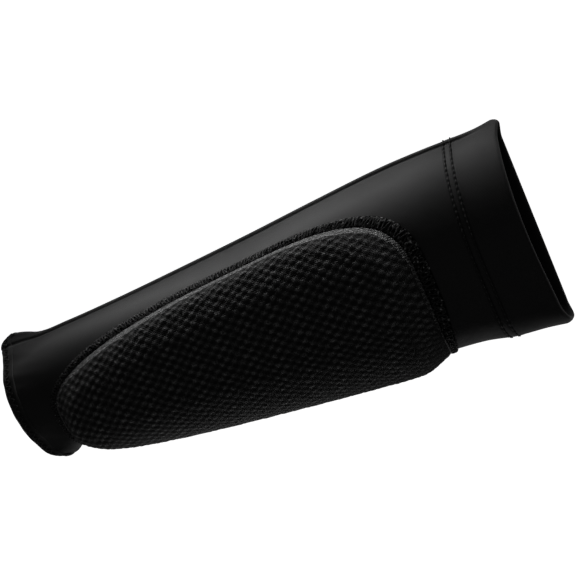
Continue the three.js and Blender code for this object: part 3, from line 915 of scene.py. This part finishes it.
mesh_black, mesh_place = cloth_material(
    "black_bump_mesh", MESH_DARK, MESH_LIGHT, smooth=0.75, rough=0.85, gleam=MESH_GLEAM)
mesh_lint = raise_knit(mesh_black, mesh_place, wale=0.9, course=0.8, fuzz=1.6,
                       strength=0.8, distance=0.0007)
# Painted shade in the mesh's pits, by its relief marks, with the lint's dark specks.
darken_pits(mesh_black, MESH_SHADE_IN_PITS, mesh_lint, low=0.36, high=0.58, relief=read_relief(mesh_black))

RIM_PIT = (0.001, 0.001, 0.001, 1)
RIM_DARK = (0.08, 0.08, 0.08, 1)
RIM_LIGHT = (0.12, 0.12, 0.12, 1)
RIM_GLEAM = 0.34
RIM_STRETCH = (0.5, 0.6, 1.0)
rim_black, rim_place = cloth_material(
    "black_cover_rim", RIM_DARK, RIM_LIGHT, smooth=0.5, rough=0.62, gleam=RIM_GLEAM)
stretched = add_node(rim_black.node_tree, "ShaderNodeMapping", {"Vector": rim_place, "Scale": RIM_STRETCH})
rim_lint = raise_knit(rim_black, stretched.outputs["Vector"], wale=0.8, course=0.6, fuzz=2.0,
                      strength=1.0, distance=0.003)
darken_pits(rim_black, RIM_PIT, rim_lint, low=0.46, high=0.56)
pad_cover = add_piece("pad_cover", in_frame(cover_points), cover_faces, mesh_black, cover_weave,
                      {"relief": cover_shade_marks})
pad_cover.data.materials.append(rim_black)
is_rim = np.zeros(len(cover_faces), np.int32)
is_rim[: len(rim_insets) * RIM_POINTS] = np.concatenate(smooth_rings)
pad_cover.data.polygons.foreach_set("material_index", is_rim)
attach(pad_cover, "root")
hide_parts("pad")

# Pad border
# The cover's flat edge, sewn to the sleeve all round the pad with black overlocked stitches. They
# knot it into a rough ribbon, and two looping threads cross over it.
BORDER_WIDTH = 4.4
BORDER_WRIST_WIDTH = 2.8
BORDER_ELBOW_WIDTH = 5.6
BORDER_CORNER_WIDTH = 2.5
BORDER_ENDS = (0.6, 1.0)
BORDER_CORNER = (0.1, 0.7)
BORDER_THICKNESS = 0.75
BORDER_POINTS = 1400
BORDER_LINES = 14
BORDER_FROM_SEAM = 0.15
BORDER_SUNK = 0.25
BORDER_EDGE = 0.55
BORDER_ROUGH = 0.6
BORDER_LEAST = 0.1
BORDER_WEAVE = (0.55, 2.75)
KNOT_PITCH = 2.0
KNOT_ROWS = 3
KNOT_STRAY = 0.3
KNOT_STRAY_LENGTH = 2.3
TANGLE = 0.7
# level and contrast of the painted shade in the ribbon's hollows, read from its knots' height
KNOT_SHADE_LEVEL = 0.45
KNOT_SHADE_CONTRAST = 0.7
OVERLOCK_PITCH = 3.4
OVERLOCK_RADIUS = 0.28
OVERLOCK_LIFT = 0.5
OVERLOCK_UNEVEN = 0.45
OVERLOCK_ARCH = 1.2
OVERLOCK_SLACK = 0.12
OVERLOCK_LAG = 0.7
# each looping thread's start in its stitch, and its swing as a share of the border
OVERLOCK_THREADS = ((0.0, 0.46), (math.pi, 0.44))
SEAM_LENGTH = 512.0
STITCH_SAMPLES = 16
# painted shade in the ribbon's hollows between its knots
BORDER_HOLLOW_SHADE = (0.0003, 0.0003, 0.0003, 1)
BORDER_DARK = (0.1, 0.1, 0.1, 1)
BORDER_LIGHT = (0.28, 0.28, 0.28, 1)
BORDER_GLEAM = 0.03


def border_width(along, across):
    """Narrow round the pad's wrist end and its steep corner, and broad round the rest of its elbow end."""
    at_corner = smooth_step(*BORDER_CORNER, across)
    elbow = BORDER_ELBOW_WIDTH + (BORDER_CORNER_WIDTH - BORDER_ELBOW_WIDTH) * at_corner
    at_end = smooth_step(*BORDER_ENDS, np.abs(along))
    return BORDER_WIDTH + (np.where(along < 0, BORDER_WRIST_WIDTH, elbow) - BORDER_WIDTH) * at_end


def border_point(across, lift, count):
    """Points round the border, at a share of its width out from the seam and a height."""
    x, round_mm = pad_ring(-(BORDER_FROM_SEAM + across * border_width(*pad_outline(count))), count)
    return raised_point(x, round_mm, lift), raised_point(x, round_mm, lift + 1.0)


seam_place = np.linspace(0, SEAM_LENGTH, BORDER_POINTS, endpoint=False)
edge_rings, edge_weave, edge_knot_shade = [], [], []
for line in range(BORDER_LINES + 2):
    share = min(max((line - 1) / (BORDER_LINES - 1), 0), 1)
    across = np.full(BORDER_POINTS, share)
    stray = KNOT_STRAY * uneven(seam_place / KNOT_STRAY_LENGTH, across * 2, 7.0)
    knots = np.cos(TURN * (seam_place / KNOT_PITCH + stray))
    knots = knots * np.cos(math.pi * (KNOT_ROWS * across + stray))
    tangle = TANGLE * (knots + uneven(seam_place, across * 4.4, 1.0))
    is_top = 0 < line <= BORDER_LINES
    hump = 4 * share * (1 - share)
    crown = BORDER_THICKNESS * (BORDER_EDGE + (1 - BORDER_EDGE) * hump)
    crown = np.maximum(crown + BORDER_ROUGH * tangle * math.sqrt(hump), BORDER_LEAST)
    lift = SEAM_CLEARANCE - BORDER_SUNK + crown * is_top
    edge_rings.append(border_point(across, lift, BORDER_POINTS)[0])
    edge_weave.append(np.stack([seam_place, across], axis=1) * BORDER_WEAVE)
    # Painted shade: dark in the ribbon's hollows, fading out on its knot tops, which keep the grey dye
    edge_knot_shade.append(np.clip(KNOT_SHADE_LEVEL + KNOT_SHADE_CONTRAST * tangle, 0, 1) ** 3)
border_black, border_place = cloth_material(
    "black_cover_edge", BORDER_DARK, BORDER_LIGHT, smooth=0.5, rough=0.6, gleam=BORDER_GLEAM)
border_lint = raise_knit(border_black, border_place, wale=0.9, course=0.8, fuzz=0.9,
                         strength=0.6, distance=0.0005)
# The ribbon's hollows get painted shade by its knot marks, and the lint adds dark specks.
darken_pits(border_black, BORDER_HOLLOW_SHADE, border_lint, low=0.53, high=0.6, relief=read_relief(border_black))
pad_edge = add_piece("pad_edge", in_frame(np.concatenate(edge_rings)),
                     ring_quads(len(edge_rings), BORDER_POINTS, True), border_black,
                     np.concatenate(edge_weave), {"relief": np.concatenate(edge_knot_shade)})
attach(pad_edge, "root")
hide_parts("pad_border")

stitches = round(SEAM_LENGTH / OVERLOCK_PITCH)
count = stitches * STITCH_SAMPLES
phase = np.arange(count) / STITCH_SAMPLES * TURN
paths, tops = [], []
for shift, swing in OVERLOCK_THREADS:
    slack = uneven(phase / TURN, np.full(count, 0.5), 5.0 + shift)
    off_middle = (swing - OVERLOCK_SLACK * np.abs(slack)) * np.sin(phase + shift + OVERLOCK_LAG * slack)
    lift = OVERLOCK_LIFT + OVERLOCK_UNEVEN * uneven(2 * phase / TURN, np.full(count, 0.5), 9.0 + shift)
    lift = SEAM_CLEARANCE + lift - OVERLOCK_ARCH * off_middle ** 2
    path, top = border_point(0.5 + off_middle, lift, count)
    paths.append(path)
    tops.append(top)
points, faces, weave = thread_tubes(np.stack(paths), np.stack(tops), OVERLOCK_RADIUS)
overlock_loops = add_piece("overlock_loops", in_frame(points), faces, thread, weave)
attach(overlock_loops, "root")

# Studio
# A pale table that glows in two patches beside the sleeve, a soft light above it and a dim pale
# room round it. Together they light the sleeve low from the fold's side, as in the photograph.
TABLE_REACH = 3.0
TABLE_DROP = 0.0004
TABLE_PAINT = (0.9, 0.9, 0.9, 1)
TABLE_DARK = (0, 0, 0, 1)
TABLE_WHITE = (1, 1, 1, 1)
TABLE_GLOW = 10.6
TABLE_SHOWN = 1.0 / TABLE_GLOW
TABLE_DIM = 0.03
# Two lit patches of the table, beyond the fold and beyond the padded side. Each is a product of
# fades: axis, from, to, and the glow at each.
LIT_PATCHES = [
    [("Y", 0.04, 0.08, 0.0, 1.0), ("Y", 0.14, 0.4, 1.0, 0.35),
     ("X", -0.16, -0.06, 0.14, 1.0), ("X", -0.02, 0.2, 1.0, 0.18)],
    [("Y", -0.08, -0.04, 0.36, 0.0), ("X", -0.06, 0.08, 1.0, 0.0), ("X", -0.14, -0.08, 0.0, 1.0)],
]
LAMP_PLACE = np.array([0.0, -0.2, 1.4])
LAMP_SIZE = 1.2
LAMP_BRIGHTNESS = 0.4
ROOM_EDGE, ROOM_HIGH = 0.5, 0.08
table_corners = [(-1, -1), (1, -1), (1, 1), (-1, 1)]
floor_mesh = bpy.data.meshes.new("pale_table")
floor_mesh.from_pydata([(TABLE_REACH * x, TABLE_REACH * y, -TABLE_DROP) for x, y in table_corners],
                       [], [(0, 1, 2, 3)])
floor_paint = bpy.data.materials.new("pale_table_top")
floor_paint.use_nodes = True
floor_tree = floor_paint.node_tree
floor_shader = floor_tree.nodes["Principled BSDF"]
floor_shader.inputs["Base Color"].default_value = TABLE_PAINT
floor_shader.inputs["Roughness"].default_value = 0.8
floor_shader.inputs["Specular IOR Level"].default_value = 0.1
floor_place = add_node(floor_tree, "ShaderNodeTexCoord")
floor_parts = add_node(floor_tree, "ShaderNodeSeparateXYZ", {"Vector": floor_place.outputs["Object"]})
table_light = TABLE_DIM
for fades in LIT_PATCHES:
    patch = 1.0
    for axis, start, end, low, high in fades:
        fade = add_node(floor_tree, "ShaderNodeMapRange",
                        {"Value": floor_parts.outputs[axis], "From Min": start, "From Max": end,
                         "To Min": low, "To Max": high}, interpolation_type="SMOOTHSTEP")
        patch = join_values(floor_tree, "MULTIPLY", patch, fade.outputs["Result"])
    table_light = join_values(floor_tree, "ADD", table_light, patch)
sight_line = add_node(floor_tree, "ShaderNodeLightPath")
table_shade = add_node(floor_tree, "ShaderNodeMix",
                       {0: sight_line.outputs["Is Camera Ray"], 2: table_light, 3: TABLE_SHOWN})
table_colour = mix_colours(floor_tree, table_shade.outputs[0], TABLE_DARK, TABLE_WHITE)
floor_tree.links.new(table_colour, floor_shader.inputs["Emission Color"])
floor_shader.inputs["Emission Strength"].default_value = TABLE_GLOW
floor_mesh.materials.append(floor_paint)
pale_table = add_object("pale_table", floor_mesh)
pale_table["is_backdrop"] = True


def facing(right, up, back, place):
    """The placing of a lamp or a camera, from its own three directions and its place."""
    return Matrix([*np.stack([right, up, back, place], axis=1).tolist(), [0, 0, 0, 1]])


light = bpy.data.lights.new("overhead_light", "AREA")
light.shape = "RECTANGLE"
light.size = light.size_y = LAMP_SIZE
light.energy = LAMP_BRIGHTNESS * math.pi * LAMP_SIZE**2
lamp = add_object("overhead_light", light)
back, right = LAMP_PLACE / np.linalg.norm(LAMP_PLACE), np.array([1, 0, 0])
lamp.matrix_world = facing(right, np.cross(back, right), back, LAMP_PLACE)

world = bpy.data.worlds.new("pale_room")
world.use_nodes = True
room = world.node_tree
backdrop = room.nodes["Background"]
backdrop.inputs["Color"].default_value = (1, 1, 1, 1)
sight = add_node(room, "ShaderNodeTexCoord")
parts = add_node(room, "ShaderNodeSeparateXYZ", {"Vector": sight.outputs["Generated"]})
fall = add_node(room, "ShaderNodeMapRange",
                {"Value": parts.outputs["Z"], "From Min": 0.0, "From Max": 0.15,
                 "To Min": ROOM_EDGE, "To Max": ROOM_HIGH})
room.links.new(fall.outputs["Result"], backdrop.inputs["Strength"])
bpy.context.scene.world = world
bpy.context.scene.view_settings.view_transform = "Standard"

CAMERA_PLACE = in_frame(np.array([371.572, 0.0, 638.99]))
CAMERA_TILT = math.radians(20)
CAMERA_ROLL = math.radians(20.8)
lens = bpy.data.cameras.new("photo_camera")
lens.lens = 94.69
lens.sensor_width = 36.0
camera = add_object("photo_camera", lens)
along = np.array([math.cos(CAMERA_TILT), 0, -math.sin(CAMERA_TILT)])
right = math.cos(CAMERA_ROLL) * along - math.sin(CAMERA_ROLL) * np.array([0, 1, 0])
up = math.sin(CAMERA_ROLL) * along + math.cos(CAMERA_ROLL) * np.array([0, 1, 0])
back = np.array([math.sin(CAMERA_TILT), 0, math.cos(CAMERA_TILT)])
camera.matrix_world = facing(right, up, back, CAMERA_PLACE)
bpy.context.scene.camera = camera

{"cad": [list(corner) for corner in cad_box], "visual": [list(corner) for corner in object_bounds()]}
